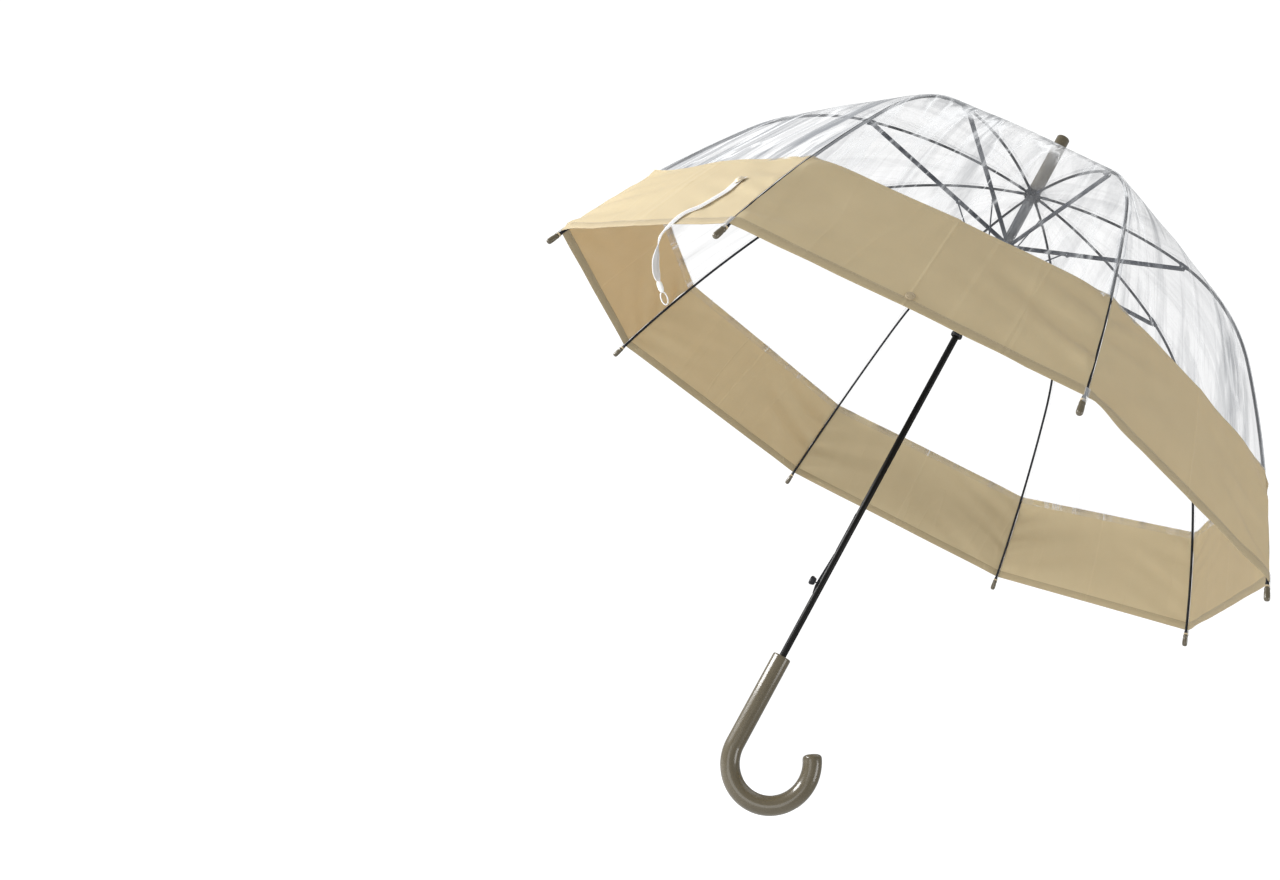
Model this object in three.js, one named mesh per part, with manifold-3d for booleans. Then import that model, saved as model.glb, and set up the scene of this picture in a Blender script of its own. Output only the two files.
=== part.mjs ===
// A stick umbrella with a deep dome of clear film and a fabric border, eight ribs and a J handle, open.
// Millimetres. The shaft runs along Z through the origin, which is the middle of the handle's straight
// grip. +Z points to the ferrule, and the handle's hook bends towards +X.

import * as THREE from "three";
import { mergeVertices } from "three/addons/utils/BufferGeometryUtils.js";
import Module from "manifold-3d";

const wasm = await Module();
wasm.setup();

// ---- Driving dimensions -------------------------------------------------------------------------------

const RIBS = 8;
const STEP = (2 * Math.PI) / RIBS;
const HALF_STEP = STEP / 2;
const GAP = 0.3; // left between pieces that touch

const TIP_PLANE = 315; // height of the rib tips over the grip's middle

// The bowed rib: its hinge in the crown, its slope there, and three tangent arcs down to the tip.
const RIB_RADIUS = 1.4;
const RIB_PIVOT = { r: 8, z: TIP_PLANE + 391.8 };
const RIB_START_SLOPE = -1.5;
const RIB_ARCS = [
  { length: 220, slope: -22.6 },
  { length: 159, slope: -58.5 },
  { length: 271, slope: -70.5 },
];
const RIB_LENGTH = RIB_ARCS.reduce((sum, arc) => sum + arc.length, 0);
const RIB_FLEX = 285; // where the springy rib straightens most when it is folded
const FLEX_CLEARANCE = 0.8;
const JOINT = { at: 222, drop: 2.5 }; // where the stretcher holds the rib, just under its centre line
const TIP_CAP = { length: 14.5, radius: 3.2 };

// The canopy: film from the crown to the seam, then the fabric border down to the hem.
const FILM_FROM = 5;
const SEAM_AT = 509;
const HEM_AT = 629;
const SKIN_OFFSET = 2; // inner face over the rib's centre line
const SKIN = 0.9;

const SHAFT_RADIUS = 4;
const BORE_RADIUS = 4.45; // sliding pieces
const SEAT_RADIUS = 4.3; // fixed pieces

const SPRING = { outer: 6.6, inner: 5.1 };
const UPPER_RUNNER = { z: TIP_PLANE + 315, pivotR: 8, flange: 9.8, below: 11, above: 12 };
const STRETCHER = { width: 3.6, depth: 4.4, wall: 0.6, side: 3.5, wireAt: 73 };
const HAND_RUNNER = { z: TIP_PLANE + 261.6, pivotR: 9.5, flange: 11.5, bottom: TIP_PLANE + 175 };
const WIRE = { radius: 0.9, side: 0.4 };

const FERRULE = { radius: 8.5, top: TIP_PLANE + 483.6 };
const HANDLE = { radius: 10.7, top: 56, hookZ: -50, hookRadius: 45, hookTurn: 211, bore: 60 };
const CATCH = { knobZ: 147, knobX: -11, knobRadius: 5.4, tooth: -6, bottom: 134, top: 186, thickness: 1.6 };

const STRAP = { panel: 5, at: 558, side: 101, width: 12, thickness: 0.8, lift: 1.3 };
const STUD = { panel: 6, at: 617, side: 0.8 };

// ---- Materials ----------------------------------------------------------------------------------------

const finish = (color, roughness, metalness = 0) =>
  new THREE.MeshStandardMaterial({ color, roughness, metalness });

const FILM = new THREE.MeshStandardMaterial(
  { color: 0xf2f5f6, roughness: 0.12, transparent: true, opacity: 0.2 });
const FABRIC = finish(0xb3a47f, 0.85);
const BLACK_FIBRE = finish(0x15171b, 0.35);
const BLACK_STEEL = finish(0x101114, 0.3, 0.6);
const BLACK_PLASTIC = finish(0x0d0e10, 0.4);
const OLIVE_PLASTIC = finish(0x6e614a, 0.22);
const SPRING_STEEL = finish(0x24262b, 0.35, 0.8);
const WHITE_PLASTIC = finish(0xf4f4f2, 0.35);

// ---- Solids -------------------------------------------------------------------------------------------

function solid(geometry) {
  const bare = geometry.clone();
  bare.deleteAttribute("normal");
  bare.deleteAttribute("uv");
  const merged = mergeVertices(bare, 1e-4);
  return new wasm.Manifold(
    new wasm.Mesh({
      numProp: 3,
      vertProperties: merged.attributes.position.array,
      triVerts: new Uint32Array(merged.index.array),
    }),
  );
}

function surface(body) {
  const mesh = body.getMesh();
  const geometry = new THREE.BufferGeometry();
  geometry.setAttribute("position", new THREE.BufferAttribute(mesh.vertProperties, 3));
  geometry.setIndex(new THREE.BufferAttribute(mesh.triVerts, 1));
  geometry.computeVertexNormals();
  return geometry;
}

const lathed = (outline, segments) =>
  new THREE.LatheGeometry(outline.map(([r, along]) => new THREE.Vector2(r, along)), segments);

// A solid turned on the Z axis from a closed outline of [radius, z] points.
const turned = (outline, segments = 32) => solid(lathed(outline, segments).rotateX(Math.PI / 2));

const tube = (inner, outer, low, high, segments) =>
  turned([[inner, low], [outer, low], [outer, high], [inner, high], [inner, low]], segments);

// A box given by its low and high corners.
function block(low, high) {
  const size = high.map((top, i) => top - low[i]);
  const box = new THREE.BoxGeometry(...size);
  return solid(box.translate(...high.map((top, i) => (top + low[i]) / 2)));
}

const circle = (radius) => new THREE.Shape().absarc(0, 0, radius, 0, 2 * Math.PI);

const alongPath = (radius, path, steps, curveSegments) =>
  new THREE.ExtrudeGeometry(circle(radius), { steps, extrudePath: path, curveSegments, bevelEnabled: false });

// The outline in the X-Z plane, given thickness along Y about the plane y = 0.
function plate(points, thickness) {
  const outline = new THREE.Shape(points.map(([x, z]) => new THREE.Vector2(x, z)));
  const slab = new THREE.ExtrudeGeometry(outline, { depth: thickness, bevelEnabled: false });
  return solid(slab.translate(0, 0, -thickness / 2).rotateX(Math.PI / 2));
}

const spokes = (make) => Array.from({ length: RIBS }, (_, k) =>
  make().rotate([0, 0, THREE.MathUtils.radToDeg(HALF_STEP + k * STEP)]));

const without = (body, cuts) => cuts.reduce((left, cut) => left.subtract(cut), body);

// ---- Rib line -----------------------------------------------------------------------------------------

// Radius, height and slope of the rib's centre line at a distance along it from its hinge.
function ribAt(distance) {
  let { r, z } = RIB_PIVOT;
  let slope = THREE.MathUtils.degToRad(RIB_START_SLOPE);
  let left = distance;
  for (const [i, arc] of RIB_ARCS.entries()) {
    const bend = (THREE.MathUtils.degToRad(arc.slope) - slope) / arc.length;
    const run = i === RIB_ARCS.length - 1 ? left : Math.min(left, arc.length);
    const end = slope + bend * run;
    r += (Math.sin(end) - Math.sin(slope)) / bend;
    z -= (Math.cos(end) - Math.cos(slope)) / bend;
    slope = end;
    left -= run;
    if (left <= 0) break;
  }
  return { r, z, slope };
}

class RibLine extends THREE.Curve {
  constructor(from, to) {
    super();
    this.from = from;
    this.to = to;
  }

  getPoint(t, target = new THREE.Vector3()) {
    const { r, z } = ribAt(THREE.MathUtils.lerp(this.from, this.to, t));
    return target.set(r, 0, z);
  }
}

// A point over the middle of a canopy panel, lifted off the rib line, in the panel's own X-Z plane.
function panelAt(distance, lift) {
  const { r, z, slope } = ribAt(distance);
  const across = Math.cos(HALF_STEP);
  const tangent = new THREE.Vector2(Math.cos(slope) * across, Math.sin(slope)).normalize();
  const tilt = Math.atan2(tangent.y, tangent.x);
  return { x: r * across - tangent.y * lift, z: z + tangent.x * lift, tilt };
}

// ---- Shaft, ferrule and handle ------------------------------------------------------------------------

function makeShaft() {
  const rod = turned([[0, HANDLE.top - HANDLE.bore + 1], [SHAFT_RADIUS, HANDLE.top - HANDLE.bore + 1],
    [SHAFT_RADIUS, FERRULE.top - 14], [0, FERRULE.top - 14]], 24);
  const slot = block([-SHAFT_RADIUS - 1, -1.1, CATCH.bottom - 4], [2.7, 1.1, CATCH.top + 4]);
  return rod.subtract(slot);
}

function makeFerrule() {
  const { radius, top } = FERRULE;
  const base = RIB_PIVOT.z + 4.5;
  return turned([[SEAT_RADIUS, base], [radius - 0.4, base], [radius, base + 0.6], [radius, top - 1.6],
    [radius - 0.5, top - 0.5], [radius - 1.6, top], [0, top], [0, top - 13.5], [SEAT_RADIUS, top - 13.5],
    [SEAT_RADIUS, base]], 28);
}

function makeHandle() {
  const { radius, top, hookZ, hookRadius, hookTurn, bore } = HANDLE;
  const sides = 20;
  const eased = 1.2; // of the grip's upper edge
  const grip = turned([[0, hookZ], [radius, hookZ], [radius, top - eased], [radius - eased, top], [0, top]],
    sides);
  const turn = new THREE.Curve();
  const angleAt = (t) => Math.PI + t * THREE.MathUtils.degToRad(hookTurn);
  turn.getPoint = (t, target = new THREE.Vector3()) =>
    target.set(hookRadius * (1 + Math.cos(angleAt(t))), 0, hookZ + hookRadius * Math.sin(angleAt(t)));
  const hook = solid(alongPath(radius, turn, 26, sides / 2));
  const end = turn.getPoint(1);
  const nose = new THREE.SphereGeometry(radius, sides, 10)
    .scale(1, 0.75, 1)
    .rotateX(Math.PI / 2)
    .rotateY(-angleAt(1))
    .translate(end.x, 0, end.z);
  return grip.add(hook).add(solid(nose)).subtract(turned([[0, top - bore], [SEAT_RADIUS, top - bore],
    [SEAT_RADIUS, top + 1], [0, top + 1]], 24));
}

// ---- Crown, spring and runners ------------------------------------------------------------------------

function makeTopNotch() {
  const { z } = RIB_PIVOT;
  const body = turned([[SEAT_RADIUS, z - 12], [6.2, z - 12], [6.2, z - 4], [11, z - 4], [11, z + 3],
    [SEAT_RADIUS, z + 3], [SEAT_RADIUS, z - 12]]);
  return without(body, spokes(() => block([6.3, -1.8, z - 5], [12, 1.8, z + 4])));
}

function makeOpenSpring() {
  const low = UPPER_RUNNER.z + UPPER_RUNNER.above + GAP;
  return tube(SPRING.inner, SPRING.outer, low, RIB_PIVOT.z - 12 - GAP, 24);
}

function makeUpperRunner() {
  const { z, flange, below, above } = UPPER_RUNNER;
  const body = turned([[BORE_RADIUS, z - below], [8.6, z - below], [8.6, z - 4], [flange, z - 4],
    [flange, z + 4], [5.7, z + 4], [5.7, z + above], [BORE_RADIUS, z + above], [BORE_RADIUS, z - below]]);
  const slotFloor = 5; // leaves the stretcher's heel room to turn
  const low = STRETCHER.side - STRETCHER.width / 2 - GAP;
  const high = STRETCHER.side + STRETCHER.width / 2 + GAP;
  return without(body, spokes(() => block([slotFloor, low, z - 3.2], [12, high, z + 5])));
}

function makeHandRunner() {
  const { z, flange, bottom } = HAND_RUNNER;
  const body = turned([[BORE_RADIUS, bottom], [6.4, bottom], [7.2, bottom + 1], [7.2, bottom + 4],
    [6.3, bottom + 5.5], [6.3, z - 12], [8, z - 6], [flange, z - 4.5], [flange, z + 4], [7, z + 5],
    [7, z + 9], [BORE_RADIUS, z + 9], [BORE_RADIUS, bottom]]);
  const window = block([-9, -1.4, bottom - 1], [0, 1.4, bottom + 30]);
  const slots = spokes(() => block([7.2, WIRE.side - 1.2, z - 2.4], [13, WIRE.side + 1.2, z + 10]));
  return without(body, [window, ...slots]);
}

// ---- Release catch: a toothed leaf in the shaft's slot, with a push knob on a stem --------------------

function makeCatch() {
  const { knobZ, knobX, knobRadius, tooth, bottom, top, thickness } = CATCH;
  const back = -1.2; // the leaf's edge inside the shaft
  const leaf = plate([[back, bottom], [-4.3, bottom], [tooth, knobZ - 4], [tooth, knobZ + 4], [-4.1, top],
    [back, top]], thickness);
  const stem = new THREE.CylinderGeometry(0.8, 0.8, 8, 8).rotateZ(Math.PI / 2).translate(-6, 0, knobZ);
  const knob = lathed([[0, -3.4], [knobRadius - 1.2, -3.4], [knobRadius, 0.6], [knobRadius, 2.2],
    [knobRadius - 1.4, 3.4], [0, 3.4]], 16).rotateZ(Math.PI / 2).translate(knobX, 0, knobZ);
  return leaf.add(solid(stem)).add(solid(knob));
}

// ---- Ribs, stretchers and wires, each along +X before it is turned to its place -----------------------

const makeRibInner = () => solid(alongPath(RIB_RADIUS, new RibLine(0, RIB_FLEX - FLEX_CLEARANCE), 12, 3));

function makeRibOuter() {
  const capFrom = RIB_LENGTH - TIP_CAP.length;
  const rod = solid(alongPath(RIB_RADIUS, new RibLine(RIB_FLEX + FLEX_CLEARANCE, capFrom + 4), 14, 3));
  const { length, radius } = TIP_CAP;
  const outline = [[0, 0], [radius - 0.5, 0], [radius, 1], [radius, length - 2.6], [radius - 1, length - 0.8],
    [0, length]];
  const { r, z, slope } = ribAt(capFrom);
  const cap = lathed(outline, 12)
    .rotateZ(slope - Math.PI / 2)
    .rotateX(Math.PI / 2)
    .translate(r, 0, z);
  return rod.add(solid(cap));
}

// The stretcher's length between its pivots, and its angle over the horizontal.
function stretcherLine() {
  const { r, z, slope } = ribAt(JOINT.at);
  const run = r + JOINT.drop * Math.sin(slope) - UPPER_RUNNER.pivotR;
  const rise = z - JOINT.drop * Math.cos(slope) - UPPER_RUNNER.z;
  return { length: Math.hypot(run, rise), pitch: Math.atan2(rise, run) };
}

// A channel, open below, from the upper runner's pivot to the rib joint.
function makeStretcher() {
  const { width, depth, wall, side } = STRETCHER;
  const { length, pitch } = stretcherLine();
  const [half, rise] = [width / 2, depth / 2];
  const section = new THREE.Shape([[-half, -rise], [-half + wall, -rise], [-half + wall, rise - wall],
    [half - wall, rise - wall], [half - wall, -rise], [half, -rise], [half, rise],
    [-half, rise]].map(([x, y]) => new THREE.Vector2(x, y)));
  const before = 1.7; // of the channel's ends past its pivots
  const beyond = 1.5;
  const run = { depth: length + before + beyond, bevelEnabled: false };
  const channel = new THREE.ExtrudeGeometry(section, run);
  return solid(channel.translate(0, 0, -before).rotateX(Math.PI / 2).rotateZ(Math.PI / 2)
    .rotateY(-pitch).translate(UPPER_RUNNER.pivotR, side, UPPER_RUNNER.z));
}

function makeWire() {
  const { pitch } = stretcherLine();
  const foot = new THREE.Vector3(HAND_RUNNER.pivotR, WIRE.side, HAND_RUNNER.z);
  const head = new THREE.Vector3(UPPER_RUNNER.pivotR + STRETCHER.wireAt * Math.cos(pitch), WIRE.side,
    UPPER_RUNNER.z + STRETCHER.wireAt * Math.sin(pitch));
  return solid(alongPath(WIRE.radius, new THREE.LineCurve3(foot, head), 1, 4));
}

// ---- Canopy: each panel is flat from rib to rib and bends only along its length -----------------------

function makePanel(from, to, steps) {
  const stations = Array.from({ length: steps + 1 }, (_, i) =>
    THREE.MathUtils.lerp(from, to, i / steps));
  const inner = stations.map((s) => panelAt(s, SKIN_OFFSET));
  const outer = stations.map((s) => panelAt(s, SKIN_OFFSET + SKIN));
  const apex = GAP / 2 / Math.sin(HALF_STEP);
  const reach = 480; // past the canopy's widest point
  const spread = (reach - apex) * Math.tan(HALF_STEP);
  const strip = plate([...inner, ...outer.reverse()].map(({ x, z }) => [x, z]), 2 * spread + 20);
  const sector = new THREE.Shape([[apex, 0], [reach, -spread], [reach, spread]].map(
    ([x, y]) => new THREE.Vector2(x, y)));
  const wedge = new THREE.ExtrudeGeometry(sector, { depth: 500, bevelEnabled: false });
  return strip.intersect(solid(wedge.translate(0, 0, TIP_PLANE - 50)));
}

const makeFilmPanel = () => makePanel(FILM_FROM, SEAM_AT - GAP / 2, 16);
const makeBandPanel = () => makePanel(SEAM_AT + GAP / 2, HEM_AT, 4);

// The small clear disc that seals the film round the ferrule.
const makeCrownPatch = () => tube(SEAT_RADIUS, 20, RIB_PIVOT.z + 3.4, RIB_PIVOT.z + 4.2, 32);

// ---- Tie strap: a film strap snapped to one border panel, with a bead and a loop at its free end ------

function strapLine() {
  const lift = SKIN_OFFSET + SKIN + STRAP.lift;
  const onBand = [-6, 20, 45, 69].map((along) => panelAt(STRAP.at + along, lift));
  const hanging = [[421.5, 13], [420.5, -8], [414.5, -23], [405.5, -35], [397, -43]].map(
    ([x, rise]) => ({ x, z: TIP_PLANE + rise }));
  return [...onBand, ...hanging];
}

function makeTieStrap() {
  const line = strapLine();
  const middle = new THREE.SplineCurve(line.map(({ x, z }) => new THREE.Vector2(x, z)));
  const samples = 20;
  const edge = (side) => Array.from({ length: samples + 1 }, (_, i) => {
    const at = middle.getPoint(i / samples);
    const along = middle.getTangent(i / samples);
    return [at.x - along.y * side, at.y + along.x * side];
  });
  const half = STRAP.thickness / 2;
  const ribbon = plate([...edge(half), ...edge(-half).reverse()], STRAP.width);
  const end = middle.getPoint(1);
  const along = middle.getTangent(1);
  const fall = Math.atan2(along.y, along.x);
  const bead = lathed([[0, -1], [2, -1], [2.7, 1], [2.7, 8], [1.8, 10.5], [0, 10.5]], 12);
  const loop = new THREE.TorusGeometry(3, 0.7, 6, 14).scale(1, 2.2, 1).translate(0, 16.2, 0);
  const atEnd = (geometry) => solid(geometry.rotateZ(fall - Math.PI / 2).rotateX(Math.PI / 2)
    .translate(end.x, 0, end.y));
  const whole = ribbon.add(atEnd(bead)).add(atEnd(loop));
  // Sideways, the strap swings from its snap towards the panel's crease, and back a little as it hangs.
  const [atSnap, atHem, atBead] = [TIP_PLANE + 85, TIP_PLANE + 15, TIP_PLANE - 43];
  const swing = (z) => (z > atHem ? THREE.MathUtils.mapLinear(z, atSnap, atHem, STRAP.side, 80)
    : THREE.MathUtils.mapLinear(z, atHem, atBead, 80, 90));
  return whole.warp((vertex) => {
    vertex[1] += swing(vertex[2]);
  });
}

// A press fastener's cap standing on the border, over whatever lies there.
function makeFastener({ at, side }, lift, radius, height) {
  const { x, z, tilt } = panelAt(at, SKIN_OFFSET + SKIN + lift);
  const outline = [[0, 0], [radius, 0], [radius, height * 0.35], [radius * 0.72, height * 0.85], [0, height]];
  const cap = lathed(outline, 18)
    .rotateX(Math.PI / 2)
    .rotateY(-tilt)
    .translate(x, side, z);
  return solid(cap);
}

const makeStrapSnap = () => makeFastener(STRAP, STRAP.lift + STRAP.thickness / 2 + GAP, 5.5, 3);
const makePressStud = () => makeFastener(STUD, GAP, 4.5, 1.4);

// ---- The umbrella -------------------------------------------------------------------------------------

const umbrella = new THREE.Group();

function place(name, body, material, turn = 0) {
  const mesh = new THREE.Mesh(surface(body), material);
  mesh.name = name;
  mesh.rotation.z = turn;
  umbrella.add(mesh);
}

place("shaft", makeShaft(), BLACK_STEEL);
place("handle", makeHandle(), OLIVE_PLASTIC);
place("ferrule", makeFerrule(), OLIVE_PLASTIC);
place("top_notch", makeTopNotch(), BLACK_PLASTIC);
place("crown_patch", makeCrownPatch(), FILM);
place("open_spring", makeOpenSpring(), SPRING_STEEL);
place("upper_runner", makeUpperRunner(), BLACK_PLASTIC);
place("hand_runner", makeHandRunner(), BLACK_PLASTIC);
place("catch", makeCatch(), BLACK_PLASTIC);

for (let k = 1; k <= RIBS; k += 1) {
  const rib = HALF_STEP + (k - 1) * STEP;
  const panel = k * STEP; // panel k lies between rib k and rib k + 1
  place(`rib_inner_${k}`, makeRibInner(), BLACK_FIBRE, rib);
  place(`rib_outer_${k}`, makeRibOuter(), BLACK_FIBRE, rib);
  place(`stretcher_${k}`, makeStretcher(), BLACK_STEEL, rib);
  place(`wire_${k}`, makeWire(), BLACK_STEEL, rib);
  place(`film_panel_${k}`, makeFilmPanel(), FILM, panel);
  place(`band_panel_${k}`, makeBandPanel(), FABRIC, panel);
}

place("tie_strap", makeTieStrap(), FILM, STRAP.panel * STEP);
place("strap_snap", makeStrapSnap(), OLIVE_PLASTIC, STRAP.panel * STEP);
place("press_stud", makePressStud(), WHITE_PLASTIC, STUD.panel * STEP);

export default umbrella;
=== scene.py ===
import math

import bmesh
import bpy
from mathutils import Matrix, Quaternion, Vector, noise


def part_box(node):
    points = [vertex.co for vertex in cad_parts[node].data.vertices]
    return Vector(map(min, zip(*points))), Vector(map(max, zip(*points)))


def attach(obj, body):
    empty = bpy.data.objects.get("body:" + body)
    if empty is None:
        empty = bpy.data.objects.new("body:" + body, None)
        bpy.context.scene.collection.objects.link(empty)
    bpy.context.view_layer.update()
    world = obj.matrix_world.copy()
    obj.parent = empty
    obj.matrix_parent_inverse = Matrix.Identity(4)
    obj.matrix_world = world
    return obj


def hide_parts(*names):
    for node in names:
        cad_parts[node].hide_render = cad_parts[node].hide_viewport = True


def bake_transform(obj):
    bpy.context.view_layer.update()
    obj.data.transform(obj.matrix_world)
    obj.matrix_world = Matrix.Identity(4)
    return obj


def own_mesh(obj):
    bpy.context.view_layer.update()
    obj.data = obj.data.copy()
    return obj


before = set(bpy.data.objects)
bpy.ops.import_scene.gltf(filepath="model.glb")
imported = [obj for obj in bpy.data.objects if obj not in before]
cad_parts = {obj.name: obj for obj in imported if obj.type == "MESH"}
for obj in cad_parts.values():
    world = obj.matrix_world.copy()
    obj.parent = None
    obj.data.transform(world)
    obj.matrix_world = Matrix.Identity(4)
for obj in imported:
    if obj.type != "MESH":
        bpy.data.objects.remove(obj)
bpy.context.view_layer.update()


# ---- Camera -------------------------------------------------------------------------------------------
# The umbrella is looked up at from a step in front of its border, a little above the hook of its handle.
# The camera is turned on its side by a third of a right angle, so the shaft leans to the right.

look_azimuth, look_up, roll = (math.radians(a) for a in (-8.46, 15.70, 28.84))
look = Vector((math.cos(look_up) * math.sin(look_azimuth), math.cos(look_up) * math.cos(look_azimuth),
               math.sin(look_up)))
camera = bpy.data.objects.new("camera", bpy.data.cameras.new("camera"))
camera.data.sensor_width = 36
camera.data.lens = 34.5
camera.data.shift_x = -0.1896
camera.data.shift_y = -0.0177
camera.data.clip_end = 100
camera.location = (0.1760, -1.3924, -0.0379)
camera.rotation_mode = "QUATERNION"
camera.rotation_quaternion = look.to_track_quat("-Z", "Y") @ Quaternion((0, 0, 1), roll)
bpy.context.scene.collection.objects.link(camera)
bpy.context.scene.camera = camera


# ---- Studio -------------------------------------------------------------------------------------------
# A white floor a grip's height below the hand, a white room, and large soft lamps: a strong one on the
# left, a weaker one on the right and one overhead. The room is greyer in reflections than to the eye.


def node(tree, kind, inputs=None, **settings):
    """A shader node, with its inputs set to plain values or linked to the sockets given."""
    made = tree.nodes.new("ShaderNode" + kind)
    for setting, value in settings.items():
        setattr(made, setting, value)
    for socket, value in (inputs or {}).items():
        if isinstance(value, bpy.types.NodeSocket):
            tree.links.new(value, made.inputs[socket])
        else:
            made.inputs[socket].default_value = value
    return made


bpy.context.scene.view_settings.view_transform = "Standard"
world = bpy.data.worlds.new("studio")
bpy.context.scene.world = world
world.use_nodes = True
world.node_tree.nodes.clear()
seen = node(world.node_tree, "Background", {"Color": (1, 1, 1, 1), "Strength": 1.1})
lighting = node(world.node_tree, "Background", {"Color": (0.96, 0.98, 1.0, 1), "Strength": 0.46})
eye = node(world.node_tree, "LightPath").outputs["Is Camera Ray"]
sky = node(world.node_tree, "MixShader", {0: eye, 1: lighting.outputs[0], 2: seen.outputs[0]})
node(world.node_tree, "OutputWorld", {"Surface": sky.outputs[0]})

FLOOR_DROP = 0.95
bpy.ops.mesh.primitive_plane_add(size=60, location=(0, 0, -FLOOR_DROP))
floor = bpy.context.object
floor.name = "floor"
paper = bpy.data.materials.new("white_paper")
paper.use_nodes = True
paper_shader = paper.node_tree.nodes["Principled BSDF"]
paper_shader.inputs["Base Color"].default_value = (0.9, 0.9, 0.9, 1)
paper_shader.inputs["Roughness"].default_value = 0.9
paper_shader.inputs["Specular IOR Level"].default_value = 0.0
paper_shader.inputs["Emission Color"].default_value = (1, 1, 1, 1)
faced = node(paper.node_tree, "LightPath").outputs["Is Camera Ray"]
glow = node(paper.node_tree, "MapRange", {"Value": faced, "To Min": 0.1, "To Max": 1.0}).outputs[0]
paper.node_tree.links.new(glow, paper_shader.inputs["Emission Strength"])
floor.data.materials.append(paper)

for lamp, place, wide, tall, power in (("left_lamp", (-2.3, -0.55, 0.40), 1.8, 0.6, 84),
                                       ("right_lamp", (2.3, -0.9, 0.7), 1.1, 1.1, 22),
                                       ("overhead_lamp", (0.2, 0.3, 3.2), 2.6, 2.6, 22),
                                       ("low_lamp", (-0.2, -1.9, -0.85), 1.8, 1.8, 25)):
    light = bpy.data.lights.new(lamp, "AREA")
    light.shape = "RECTANGLE"
    light.size, light.size_y = wide, tall
    light.energy = power
    holder = bpy.data.objects.new(lamp, light)
    holder.location = place
    holder.rotation_mode = "QUATERNION"
    holder.rotation_quaternion = (Vector((0, 0, 0.4)) - Vector(place)).to_track_quat("-Z", "Y")
    holder.visible_camera = False
    bpy.context.scene.collection.objects.link(holder)


# ---- Shaft --------------------------------------------------------------------------------------------
# An 8 mm steel tube with a black stoved coat, pressed into the handle below and the ferrule above.
# Its slot near the grip holds the release catch, and a flat spring lies along it over the slot.


def eased(outline, radius, steps=3):
    """The outline with each of its inner corners rounded off, by at most radius."""
    rounded = [outline[0]]
    for before, corner, after in zip(outline, outline[1:], outline[2:]):
        b, c, a = (Vector(p) for p in (before, corner, after))
        cut = min(radius, (b - c).length * 0.45, (a - c).length * 0.45)
        start, end = c + (b - c).normalized() * cut, c + (a - c).normalized() * cut
        shares = [i / steps for i in range(steps + 1)]
        rounded += [tuple(start.lerp(c, t).lerp(c.lerp(end, t), t)) for t in shares]
    return rounded + [outline[-1]]


def turned(outline, sides=48):
    """Corners and faces of an outline of (radius, height) turned round Z, from axis to axis or end to end."""
    corners, rings, faces = [], [], []
    angles = [math.tau * i / sides for i in range(sides)]
    for r, z in outline:
        if r < 1e-6:
            rings.append([len(corners)] * sides)
            corners.append(Vector((0, 0, z)))
            continue
        rings.append([len(corners) + i for i in range(sides)])
        corners += [Vector((r * math.cos(a), r * math.sin(a), z)) for a in angles]
    if tuple(outline[0]) == tuple(outline[-1]):
        corners = corners[:-sides]
        rings[-1] = rings[0]
    for low, high in zip(rings, rings[1:]):
        for i in range(sides):
            j = (i + 1) % sides
            face = list(dict.fromkeys((low[i], low[j], high[j], high[i])))
            if len(face) > 2:
                faces.append(face)
    return corners, faces


def swept(path, section, side=None, scales=None):
    """Corners and faces of a closed (across, up) section carried along a path, with its ends capped."""
    corners, faces = [], []
    path = [Vector(p) for p in path]
    count = len(section)
    last = None
    for i, p in enumerate(path):
        ahead = (path[min(i + 1, len(path) - 1)] - path[max(i - 1, 0)]).normalized()
        across = Vector(side) if side is not None else last or ahead.orthogonal()
        across = (across - ahead * across.dot(ahead)).normalized()
        last = across
        up = across.cross(ahead)
        scale = scales[i] if scales else 1
        corners += [p + (across * x + up * y) * scale for x, y in section]
    for i in range(len(path) - 1):
        for j in range(count):
            k = (j + 1) % count
            faces.append([i * count + j, i * count + k, (i + 1) * count + k, (i + 1) * count + j])
    faces += [list(range(count))[::-1], [len(corners) - count + j for j in range(count)]]
    return corners, faces


def ring_section(radius, sides=12):
    angles = [math.tau * i / sides for i in range(sides)]
    return [(radius * math.cos(a), radius * math.sin(a)) for a in angles]


def together(*parts):
    """Several parts, each corners and faces, as one."""
    corners, faces = [], []
    for more_corners, more_faces in parts:
        faces += [[i + len(corners) for i in face] for face in more_faces]
        corners += more_corners
    return corners, faces


def moved(part, matrix):
    return [matrix @ Vector(p) for p in part[0]], part[1]


def block(low, high, ease=0.0):
    """A box with its edges eased."""
    mesh = bmesh.new()
    bmesh.ops.create_cube(mesh, size=1)
    for corner in mesh.verts:
        corner.co = Vector([a + (b - a) * (c + 0.5) for a, b, c in zip(low, high, corner.co)])
    if ease:
        bmesh.ops.bevel(mesh, geom=mesh.edges[:], offset=ease, segments=2, affect="EDGES", profile=0.6)
    mesh.verts.index_update()
    part = [c.co.copy() for c in mesh.verts], [[c.index for c in f.verts] for f in mesh.faces]
    mesh.free()
    return part


def mesh_of(name, part):
    """A mesh object in metres from a part in millimetres, with its faces turned outward."""
    data = bpy.data.meshes.new(name)
    data.from_pydata([Vector(p) * 0.001 for p in part[0]], [], part[1])
    tidy = bmesh.new()
    tidy.from_mesh(data)
    bmesh.ops.recalc_face_normals(tidy, faces=tidy.faces)
    tidy.to_mesh(data)
    tidy.free()
    made = bpy.data.objects.new(name, data)
    bpy.context.scene.collection.objects.link(made)
    return made


def piece(name, part, material, body, stands_for=(), crisp=32):
    """A finished piece on a body, standing for CAD nodes. Edges over crisp degrees stay sharp."""
    made = mesh_of(name, part)
    made.data.materials.append(material)
    made.data.shade_smooth()
    made.data.set_sharp_from_angle(angle=math.radians(crisp))
    if body:
        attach(made, body)
    if stands_for:
        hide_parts(*stands_for)
    return made


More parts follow.
